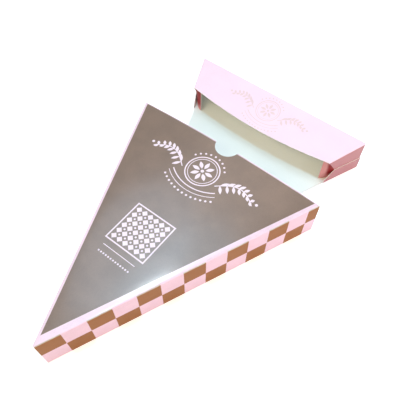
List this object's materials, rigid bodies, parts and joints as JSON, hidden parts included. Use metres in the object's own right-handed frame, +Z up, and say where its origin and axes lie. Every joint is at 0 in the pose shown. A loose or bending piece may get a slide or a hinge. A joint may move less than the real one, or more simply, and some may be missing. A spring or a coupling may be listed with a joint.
{
  "type": "pizza slice box",
  "caption": "Wedge-shaped folded card box for a pizza slice: a sleeve open at its wide end and a tray with a raised crust hood that slides out of it.",
  "frame": {"origin": "on the surface that the box rests on, under the middle of the whole box as pictured, with the tray part way out", "axes": "+Y from the sharp tip towards the open wide end, the way the tray is pulled out; +Z up; +X to the right as seen from the tip"},
  "size_m": [0.159, 0.2586, 0.0348],
  "materials": {
    "sleeve_card": "satin laminated printed card",
    "tray_card": "satin printed card, bare white inside"
  },
  "bodies": {
    "sleeve": {"sleeve": "sleeve_card"},
    "tray": {"tray": "tray_card"}
  },
  "joints": [
    {"name": "tray_slide", "type": "slide", "parent": "sleeve", "child": "tray", "axis": [0, 1, 0], "range_m": [-0.0735, 0.115]}
  ]
}
